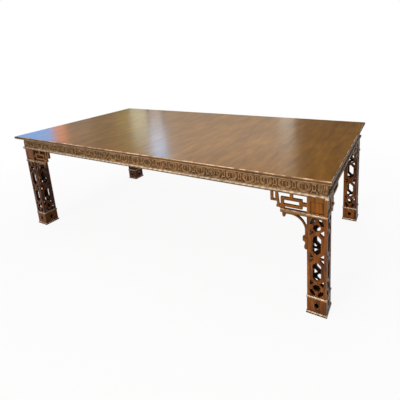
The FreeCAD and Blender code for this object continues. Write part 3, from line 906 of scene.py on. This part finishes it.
@dataclass
class LobedMoulding:
    """Half-round moulding along the foot of the rails, carved with slanted lobes."""

    pitch: float = 37.0 * MM
    crest: float = 9.6 * MM
    valley: float = 6.8 * MM
    inner: float = 2.0 * MM
    lip: float = 3.0 * MM
    lip_grime: float = -0.9
    overrun: float = 19.2 * MM
    slant: float = 0.55
    arc_steps: int = 8
    swell: tuple[float, ...] = (0.0, 0.72, 0.96, 1.0, 0.96, 0.72, 0.1, 0.55)
    # Below this share of their height the lobes get painted shade; above it they are painted pale
    # as rubbing and painted highlight.
    shade: float = 0.44
    rub_above: Pair = (0.3, 0.85)
    rub_below: Pair = (-0.85, -0.15)
    petal: Point = (4.4 * MM, 4.0 * MM, 10.5 * MM)
    petal_out: float = 5.0 * MM
    petal_turns: tuple[Point, ...] = (
        (0.0, 0.0, 45.0), (-9.0 * MM, 0.0, 20.0), (0.0, 9.0 * MM, 70.0))
    foot: float = field(init=False)
    head: float = field(init=False)

    def __post_init__(self) -> None:
        """Read the height of the moulding from the frame."""
        low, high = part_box("moulding_front_right")
        self.foot = low.z
        self.head = high.z

    @property
    def middle(self) -> float:
        """Height of the middle of the moulding."""
        return (self.foot + self.head) / 2

    def build(self, runs: list[Run]) -> None:
        """Carve every length and the leaves at its corners.

        Args:
            runs: The lengths of apron.
        """
        for run in runs:
            self.carve(run)
        for half in Half:
            for side in (Side.FRONT, Side.BACK):
                self.corner_leaf(half, side)

    def outline(self, share: float, crest: float) -> Pair:
        """Give a point of the section.

        Args:
            share: Place along the section, from 0 at the foot to 1 at the head.
            crest: How far out the section comes.

        Returns:
            Distance out from the rail, and height.
        """
        middle = (self.foot + self.lip + self.head) / 2
        angle = math.pi * (share - 0.5)
        out = self.inner + (crest - self.inner) * math.cos(angle)
        return out, middle + (self.head - self.foot - self.lip) / 2 * math.sin(angle)

    def carve(self, run: Run) -> None:
        """Carve one length.

        Args:
            run: Length of apron.
        """
        count = round((run.stop - run.start) / self.pitch)
        pitch = (run.stop - run.start) / count
        spare = math.ceil(self.overrun / pitch)
        steps = len(self.swell)
        stations = (count + 2 * spare) * steps
        lean = self.slant * (1 if run.half is Half.RIGHT else -1)
        piece = Workpiece()
        bmesh.ops.create_grid(piece.bm, x_segments=stations, y_segments=self.arc_steps, size=0.5)
        for vert in piece.bm.verts:
            station = round((vert.co.x + 0.5) * stations)
            crest = self.valley + (self.crest - self.valley) * self.swell[station % steps]
            out, height = self.outline(vert.co.y + 0.5, crest)
            along = run.start + (station / steps - spare) * pitch + lean * (height - self.middle)
            vert.co = Vector((along, -out, height))
        self.close_back(piece)
        self.saw_ends(piece, run)
        bmesh.ops.recalc_face_normals(piece.bm, faces=piece.bm.faces)
        # Painted light: the upper part is painted pale and the lower part dark as shade, and the
        # valleys get less pale and more painted shade than the crests.
        for face in piece.bm.faces:
            spot = face.calc_center_median()
            along = spot.x - run.start - lean * (spot.z - self.middle)
            station = int(along / pitch * steps + spare * steps) % steps
            lift = (self.swell[station] + self.swell[(station + 1) % steps]) / 2
            share = (spot.z - self.foot - self.lip) / (self.head - self.foot - self.lip)
            low, high = self.rub_below if share < self.shade else self.rub_above
            piece.rub([face], low + (high - low) * lift)
        self.shelf(piece, run)
        piece.put(f"moulding_{run.name}_lobed", run.half.body,
                  [MOULDING_WOOD.material(run.side.grain)], "moulding_wood",
                  f"moulding_{run.name}", run.place())

    def close_back(self, piece: Workpiece) -> None:
        """Close the moulding against the rail, from its foot to its head.

        Args:
            piece: The moulding.
        """
        rows = {}
        for edge in piece.bm.edges:
            if edge.is_boundary:
                heights = [vert.co.z for vert in edge.verts]
                if max(heights) - min(heights) < MERGE_GAP:
                    rows.setdefault(round(heights[0] / MM), []).append(edge)
        for level in sorted(rows):
            made = bmesh.ops.extrude_edge_only(piece.bm, edges=rows[level])["geom"]
            for item in made:
                if isinstance(item, BMVert):
                    item.co.y = 0
        backs = [edge for edge in piece.bm.edges
                 if all(abs(vert.co.y) < MERGE_GAP for vert in edge.verts)]
        bmesh.ops.bridge_loops(piece.bm, edges=backs)

    def saw_ends(self, piece: Workpiece, run: Run) -> None:
        """Saw the ends to the mitre at a corner and square at the seam."""
        piece.trim((run.start, 0, 0), (-1, 1 if run.mitred_start else 0, 0))
        piece.trim((run.stop, 0, 0), (1, 1 if run.mitred_stop else 0, 0))

    def shelf(self, piece: Workpiece, run: Run) -> None:
        """Add the flat lip under the lobes, painted dark as shade.

        Args:
            piece: The moulding.
            run: Length of apron.
        """
        level = self.foot + self.lip / 2
        old = set(piece.bm.faces)
        piece.bar((run.start - self.lip * run.mitred_start, level),
                  (run.stop + self.lip * run.mitred_stop, level), self.lip, 0.0, self.lip)
        piece.rub([face for face in piece.bm.faces if face not in old], self.lip_grime)

    def corner_leaf(self, half: Half, side: Side) -> None:
        """Add the small leaf that covers a mitre.

        Args:
            half: Half of the table.
            side: Side that the leaf is laid out on.
        """
        run = Run.of_rail(side, half)
        x = run.stop if run.mitred_stop else run.start
        hand = 1 if run.mitred_stop else -1
        piece = Workpiece()
        for shift, back, angle in self.petal_turns:
            centre = (x + hand * (self.petal_out + shift), back - self.petal_out, self.middle)
            piece.bead(centre, self.petal, 0.0, 1.0, math.radians(angle) * hand)
        piece.put(f"corner_leaf_{run.name}", half.body, [MOULDING_WOOD.material(Grain.HEIGHT)],
                  "moulding_wood", place=run.place())


@dataclass
class FretLegs:
    """Four hollow legs: block, collar, pierced boards and plinth."""

    block_ease: float = 1.6 * MM
    block_rub: float = 0.6
    upright_tilt: float = 0.1
    panel_line: float = 6.0 * MM
    panel_area: float = 0.002
    panel_depth: Pair = (1.0 * MM, 10.0 * MM)
    board_ease: float = 1.3 * MM
    board_rub: float = 0.6
    mitre_tilt: float = 0.4
    skin: float = 2.0 * MM
    inside_grime: float = -0.85
    plinth_ease: float = 1.4 * MM
    plinth_rub: float = 0.5
    wall: float = 12.0 * MM
    floor_tilt: float = 0.99
    cap_height: float = 13.0 * MM
    base_height: float = 12.0 * MM
    base_grime: float = -0.5

    def build(self) -> None:
        """Build the legs at the four corners."""
        for half in Half:
            for side in (Side.FRONT, Side.BACK):
                corner = f"{side.value}_{half.value}"
                self.block(corner, half)
                self.collar(corner, half)
                self.boards(corner, half)
                self.plinth(corner, half)

    def block(self, corner: str, half: Half) -> None:
        """Ease the block, and paint shade lines round the edges of its sunk panels.

        Args:
            corner: Corner of the table.
            half: Half of the table.
        """
        node = f"leg_block_{corner}"
        piece = Workpiece.from_node(node)
        panels = [face for face in piece.bm.faces if self.sunk(face, node)]
        lines = bmesh.ops.inset_individual(piece.bm, faces=panels, thickness=self.panel_line)
        # Painted shade: a dark band in the corners of each sunk panel.
        piece.rub(lines["faces"], FULL_PAINTED_SHADE)
        piece.ease(self.block_ease, worn=self.block_rub)
        piece.put(node + "_panelled", half.body, [BLOCK_WOOD.material(Grain.HEIGHT)], "block_wood",
                  node)

    def sunk(self, face: BMFace, node: str) -> bool:
        """Tell whether a face is the flat of a sunk panel.

        Args:
            face: A face of the block.
            node: Solid that the block is made from.

        Returns:
            True for the flat of a panel.
        """
        low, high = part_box(node)
        spot = face.calc_center_median()
        axis = 0 if abs(face.normal.x) > abs(face.normal.y) else 1
        least, most = self.panel_depth
        return (abs(face.normal.z) < self.upright_tilt and face.calc_area() > self.panel_area
                and least < min(spot[axis] - low[axis], high[axis] - spot[axis]) < most)

    def collar(self, corner: str, half: Half) -> None:
        """Paint the collar's upper faces pale, as rubbing and painted highlight, and its lower
        faces dark as painted shade.

        Args:
            corner: Corner of the table.
            half: Half of the table.
        """
        node = f"leg_collar_{corner}"
        piece = Workpiece.from_node(node)
        piece.rub_ledge(piece.bm.faces)
        piece.put(node + "_rounded", half.body, [MOULDING_WOOD.material(Grain.LENGTH)],
                  "moulding_wood", node)

    def boards(self, corner: str, half: Half) -> None:
        """Join the four boards at their mitres, ease the openings and corners of the shaft, and
        paint shade on its inside.

        Args:
            corner: Corner of the table.
            half: Half of the table.
        """
        node = f"leg_fret_{corner}"
        piece = Workpiece.from_node(node)
        mitres = [face for face in piece.bm.faces
                  if abs(face.normal.x * face.normal.y) > self.mitre_tilt]
        bmesh.ops.delete(piece.bm, geom=mitres, context="FACES")
        bmesh.ops.remove_doubles(piece.bm, verts=piece.bm.verts, dist=MERGE_GAP)
        piece.ease(self.board_ease, worn=self.board_rub)
        self.darken_inside(piece, node)
        piece.put(node + "_pierced", half.body, [LEG_WOOD.material(Grain.HEIGHT)], "carved_wood",
                  node)

    def darken_inside(self, piece: Workpiece, node: str) -> None:
        """Paint shade on every face that lies behind the outer skin of a hollow leg.

        Args:
            piece: The boards.
            node: Solid that they are made from.
        """
        low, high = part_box(node)
        middle = (low + high) / 2
        reach = (high.x - low.x) / 2 - self.skin
        for face in piece.bm.faces:
            spot = face.calc_center_median() - middle
            if max(abs(spot.x), abs(spot.y)) < reach:
                piece.rub([face], self.inside_grime)

    def plinth(self, corner: str, half: Half) -> None:
        """Ease the plinth, finish the ledges of its cap and base paler, paint their upper sides as
        rubbing and highlight and their lower sides as shade, and paint shade in its hollow.

        Args:
            corner: Corner of the table.
            half: Half of the table.
        """
        node = f"leg_plinth_{corner}"
        low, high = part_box(node)
        base_top = low.z + self.base_height
        piece = Workpiece.from_node(node)
        piece.ease(self.plinth_ease, worn=self.plinth_rub)
        shaded_floors = [face for face in piece.bm.faces if face.normal.z > self.floor_tilt
                  and min(abs(face.calc_center_median().z - top) for top in (high.z, base_top))
                  < MERGE_GAP]
        bmesh.ops.inset_individual(piece.bm, faces=shaded_floors, thickness=self.wall)
        level = {face: face.calc_center_median().z for face in piece.bm.faces}
        cap = [face for face in level if level[face] > high.z - self.cap_height + MERGE_GAP]
        base = [face for face in level if level[face] < base_top + MERGE_GAP]
        for face in cap + [face for face in base if face.normal.z > LEDGE_TILT]:
            face.material_index = 1
        piece.rub_ledge(cap)
        piece.rub_ledge(base, under=self.base_grime)
        for face in shaded_floors:
            face.material_index = 0
        # Painted shade on the inner part of the cap's top and the base's top, where the hollow
        # lies.
        piece.rub(shaded_floors, FULL_PAINTED_SHADE)
        finishes = [LEG_WOOD.material(Grain.HEIGHT), MOULDING_WOOD.material(Grain.LENGTH)]
        piece.put(node + "_pierced", half.body, finishes, "carved_wood", node)


@dataclass
class FretBrackets:
    """Pierced corner brackets with a pale shelf and a curved brace."""

    ease: float = 1.2 * MM
    arris_rub: float = 0.5
    edge_tilt: float = 0.3
    edge_grime: float = -0.6
    brace_grime: float = -0.3
    shelf_reach: float = 0.1 * MM

    def build(self) -> None:
        """Build the brackets under the long rails and the end rails."""
        for half in Half:
            for side in (Side.FRONT, Side.BACK):
                for kind, grain in (("side", Grain.LENGTH), ("end", Grain.WIDTH)):
                    self.bracket(f"bracket_{kind}_{side.value}_{half.value}", half, grain)

    def bracket(self, node: str, half: Half, grain: Grain) -> None:
        """Ease one bracket, finish its shelf paler with painted highlight on top and painted shade
        below, and paint shade on its edges and on the brace below the shelf.

        Args:
            node: Name of the bracket's solid.
            half: Half of the table.
            grain: Axis that the bracket runs along.
        """
        low, high = (corner.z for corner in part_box("leg_collar_front_right"))
        piece = Workpiece.from_node(node)
        piece.ease(self.ease, worn=self.arris_rub)
        # Painted light: the shelf's upper side pale and lower side dark; the cut edges and the
        # brace below the shelf dark as shade.
        for face in piece.bm.faces:
            height = face.calc_center_median().z
            facing = abs(face.normal[1 - grain.value])
            if low - self.shelf_reach < height < high + self.shelf_reach:
                face.material_index = 1
                piece.rub_ledge([face])
            elif facing < self.edge_tilt:
                piece.rub([face], self.edge_grime)
            elif height < low and facing > 1 - self.edge_tilt:
                piece.rub([face], self.brace_grime)
        finishes = [BLOCK_WOOD.material(grain), MOULDING_WOOD.material(grain)]
        piece.put(node + "_fret", half.body, finishes, "carved_wood", node)


class DrawFrame:
    """Hidden pieces under the top, left as sawn: slides, bearers, braces and tongues."""

    def build(self) -> None:
        """Finish each hidden piece as built."""
        for half in ("left", "middle", "right"):
            for side in ("front", "back"):
                dress_node(f"{side}_slide_runner_{half}", FRAME_WOOD, Grain.LENGTH)
        for half in Half:
            dress_node(f"bearer_{half.value}", FRAME_WOOD, Grain.WIDTH)
            dress_node(f"corner_braces_{half.value}", FRAME_WOOD, Grain.LENGTH)
        dress_node("top_tongues", FRAME_WOOD, Grain.LENGTH)


@dataclass(frozen=True)
class Softbox:
    """A soft lamp aimed at the table."""

    name: str
    place: Point
    size: float
    power: float
    colour: tuple[float, float, float] = (1.0, 1.0, 1.0)
    aim: Point = (0.0, 0.0, 0.55)
    fan: float = 180.0


@dataclass(frozen=True)
class WallCard:
    """An upright card that only the polish reflects, placed as seen from the camera."""

    name: str
    bearing: float
    spread: float
    foot: float
    head: float
    colour: Colour
    strength: float


@dataclass
class Studio:
    """Camera, pale floor, white surround, soft lamps and the cards that the polish reflects."""

    eye: Point = (1.50477, -1.93467, 1.36309)
    right: Point = (0.8917976, 0.4500516, -0.0463744)
    down: Point = (0.0568213, -0.2130992, -0.9753769)
    ahead: Point = (-0.4488523, 0.8672037, -0.2156139)
    focal_px: float = 321.791
    centre_px: tuple[float, float] = (244.583, 117.685)
    image_px: float = 400.0
    sensor: float = 36.0
    floor_radius: float = 40.0
    floor_grey: Colour = (0.6, 0.6, 0.6, 1.0)
    floor_glow: Pair = (0.92, 1.0)
    floor_fade: Pair = (1.2, 3.2)
    ambient: Pair = (0.36, 0.19)
    lamps: tuple[Softbox, ...] = (
        Softbox("window", (-1.0, -5.6, 2.2), 2.4, 61.0, (1.0, 0.98, 0.95), (1.05, -0.5, 0.5), 66.0),
        Softbox("overhead", (-0.42, -0.2, 4.6), 3.6, 103.0),
        Softbox("back_fill", (-0.8, 5.5, 2.4), 3.0, 90.0),
    )
    wall_radius: float = 9.0
    wall_height: float = 7.0
    wall_colour: Colour = (1.0, 0.86, 0.72, 1.0)
    wall_strength: float = 0.09
    card_reach: float = 7.0
    cards: tuple[WallCard, ...] = (
        WallCard("sky_left", -62.6, 3.7, 1.2, 2.3, (0.16, 0.5, 1.0, 1.0), 2.5),
        WallCard("pink_board", -58.0, 0.9, 1.2, 2.1, (1.0, 0.42, 0.26, 1.0), 1.9),
        WallCard("grey_left", -55.2, 1.9, 1.2, 3.4, (1.0, 0.9, 0.78, 1.0), 0.46),
        WallCard("warm_left", -51.5, 1.9, 1.2, 3.4, (1.0, 0.9, 0.68, 1.0), 0.34),
        WallCard("gold_left", -48.4, 1.2, 1.2, 3.4, (1.0, 0.92, 0.5, 1.0), 0.5),
        WallCard("window_pale", -46.0, 1.4, 1.2, 2.3, (1.0, 1.0, 0.7, 1.0), 1.3),
        WallCard("window_blue", -43.1, 1.3, 2.1, 3.4, (0.42, 0.68, 1.0, 1.0), 4.4),
        WallCard("window_white", -43.1, 1.3, 1.85, 2.1, (0.8, 0.88, 1.0, 1.0), 2.7),
        WallCard("window_foot", -43.1, 1.0, 1.2, 1.85, (1.0, 0.92, 0.76, 1.0), 0.9),
        WallCard("warm_low", -30.0, 11.6, 1.2, 2.05, (1.0, 0.84, 0.66, 1.0), 0.66),
        WallCard("warm_high", -30.0, 11.6, 2.05, 3.6, (1.0, 0.82, 0.66, 1.0), 1.1),
        WallCard("strip_pale", -19.7, 1.3, 1.2, 3.6, (1.0, 0.95, 0.86, 1.0), 1.2),
        WallCard("dim_right", -11.0, 6.5, 1.2, 2.7, (1.0, 0.88, 0.76, 1.0), 0.14),
        WallCard("grey_right", 7.0, 9.0, 0.0, 3.0, (0.88, 0.88, 1.0, 1.0), 0.32),
    )

    def build(self) -> None:
        """Set up the studio."""
        self.camera()
        self.world()
        self.floor()
        for lamp in self.lamps:
            self.softbox(lamp)
        self.wall()
        for card in self.cards:
            self.card(card)

    def camera(self) -> None:
        """Stand the camera where the photograph was taken from."""
        data = bpy.data.cameras.new("camera")
        data.sensor_width = self.sensor
        data.lens = self.sensor * self.focal_px / self.image_px
        data.shift_x = (self.image_px / 2 - self.centre_px[0]) / self.image_px
        data.shift_y = (self.centre_px[1] - self.image_px / 2) / self.image_px
        camera = bpy.data.objects.new("camera", data)
        axes = Matrix((self.right, -Vector(self.down), -Vector(self.ahead))).transposed()
        camera.matrix_world = Matrix.Translation(self.eye) @ axes.to_4x4()
        bpy.context.scene.collection.objects.link(camera)
        bpy.context.scene.camera = camera

    def seen(self, bench: NodeBench) -> NodeSocket:
        """Tell rays that show the surround from rays that light the table.

        Args:
            bench: Node tree of the world or the floor.

        Returns:
            1 for what is seen straight, reflected or through glass, else 0.
        """
        path = bench.add("ShaderNodeLightPath").outputs
        both = bench.combine("MAXIMUM", path["Is Camera Ray"], path["Is Glossy Ray"])
        return bench.combine("MAXIMUM", both, path["Is Transmission Ray"])

    def world(self) -> None:
        """Make a white surround that lights the table at a plain level, less from its right end."""
        world = bpy.data.worlds.new("surround")
        bpy.context.scene.world = world
        bench = NodeBench.blank(world)
        way = bench.add("ShaderNodeTexCoord").outputs["Generated"]
        across = bench.add("ShaderNodeSeparateXYZ", inputs={0: way}).outputs[0]
        shade = bench.spread(across, *self.ambient, -1.0, 1.0)
        level = bench.combine("MAXIMUM", shade, self.seen(bench))
        light = bench.add("ShaderNodeBackground", inputs={"Color": WHITE, "Strength": level})
        bench.add("ShaderNodeOutputWorld", inputs={"Surface": light.outputs[0]})

    def staged(self, name: str, bm: bmesh.types.BMesh, material: Material) -> bpy.types.Object:
        """Make a mesh part of the stage.

        Args:
            name: Name of the stage piece.
            bm: Its mesh.
            material: Its finish.

        Returns:
            The object.
        """
        mesh = bpy.data.meshes.new(name)
        bm.to_mesh(mesh)
        bm.free()
        mesh.materials.append(material)
        piece = bpy.data.objects.new(name, mesh)
        bpy.context.scene.collection.objects.link(piece)
        return piece

    def floor(self) -> None:
        """Lay a pale floor that keeps the shadow and runs out to white."""
        bm = bmesh.new()
        bmesh.ops.create_circle(bm, cap_ends=True, segments=STAGE_SIDES, radius=self.floor_radius)
        material = bpy.data.materials.new("pale_floor")
        bench = NodeBench.blank(material)
        coords = bench.add("ShaderNodeTexCoord").outputs["Object"]
        away = bench.add("ShaderNodeVectorMath", {"operation": "LENGTH"}, {0: coords})
        share = bench.spread(away.outputs["Value"], *self.floor_glow, *self.floor_fade)
        glow = bench.combine("MULTIPLY", share, self.seen(bench))
        matt = bench.add("ShaderNodeBsdfDiffuse", inputs={"Color": self.floor_grey})
        white = bench.add("ShaderNodeEmission", inputs={"Color": WHITE, "Strength": 1.0})
        mixed = bench.add("ShaderNodeMixShader",
                          inputs={0: glow, 1: matt.outputs[0], 2: white.outputs[0]})
        bench.add("ShaderNodeOutputMaterial", inputs={"Surface": mixed.outputs[0]})
        self.staged("floor", bm, material)

    def softbox(self, lamp: Softbox) -> None:
        """Hang a soft lamp and aim it at the table.

        Args:
            lamp: The lamp.
        """
        data = bpy.data.lights.new(lamp.name, "AREA")
        data.size = lamp.size
        data.energy = lamp.power
        data.color = lamp.colour
        data.spread = math.radians(lamp.fan)
        hung = bpy.data.objects.new(lamp.name, data)
        hung.location = lamp.place
        aim = Vector(lamp.aim) - Vector(lamp.place)
        hung.rotation_euler = aim.to_track_quat("-Z", "Y").to_euler()
        hung.visible_camera = False
        hung.visible_glossy = False
        bpy.context.scene.collection.objects.link(hung)

    def reflected(self, name: str, bm: bmesh.types.BMesh, colour: Colour, strength: float) -> None:
        """Make a plain glowing stage piece that nothing shows or is lit by, apart from reflections.

        Args:
            name: Name of the stage piece.
            bm: Its mesh.
            colour: Colour of its glow.
            strength: Strength of its glow.
        """
        material = bpy.data.materials.new(name)
        bench = NodeBench.blank(material)
        glow = bench.add("ShaderNodeEmission", inputs={"Color": colour, "Strength": strength})
        bench.add("ShaderNodeOutputMaterial", inputs={"Surface": glow.outputs[0]})
        piece = self.staged(name, bm, material)
        piece.visible_camera = False
        piece.visible_diffuse = False
        piece.visible_shadow = False
        piece.visible_transmission = False

    def wall(self) -> None:
        """Stand a dim round wall about the table for the polish to reflect."""
        bm = bmesh.new()
        bmesh.ops.create_cone(bm, segments=STAGE_SIDES, radius1=self.wall_radius,
                              radius2=self.wall_radius, depth=self.wall_height,
                              matrix=Matrix.Translation((0, 0, self.wall_height / 2)))
        self.reflected("dim_wall", bm, self.wall_colour, self.wall_strength)

    def card(self, card: WallCard) -> None:
        """Stand one reflected card upright across its bearing.

        Args:
            card: The card.
        """
        bearing = math.radians(card.bearing)
        middle = Vector((self.eye[0] + self.card_reach * math.sin(bearing),
                         self.eye[1] + self.card_reach * math.cos(bearing),
                         (card.foot + card.head) / 2))
        wide = 2 * self.card_reach * math.tan(math.radians(card.spread))
        place = (Matrix.Translation(middle) @ Matrix.Rotation(-bearing, 4, "Z")
                 @ Matrix.Diagonal((wide, 1, card.head - card.foot, 1))
                 @ Matrix.Rotation(math.pi / 2, 4, "X"))
        bm = bmesh.new()
        bmesh.ops.create_grid(bm, x_segments=1, y_segments=1, size=0.5, matrix=place)
        self.reflected(card.name, bm, card.colour, card.strength)


def main() -> None:
    """Build the table piece by piece, then the studio."""
    logging.basicConfig(level=logging.INFO, format="%(message)s")
    bpy.context.scene.view_settings.view_transform = "Standard"
    runs = [Run.of_rail(side, half) for side in Side for half in Half]
    TableTop().build(runs)
    CarvedFrieze().build(runs)
    LobedMoulding().build(runs)
    FretLegs().build()
    FretBrackets().build()
    DrawFrame().build()
    Studio().build()


if __name__ == "__main__":
    main()
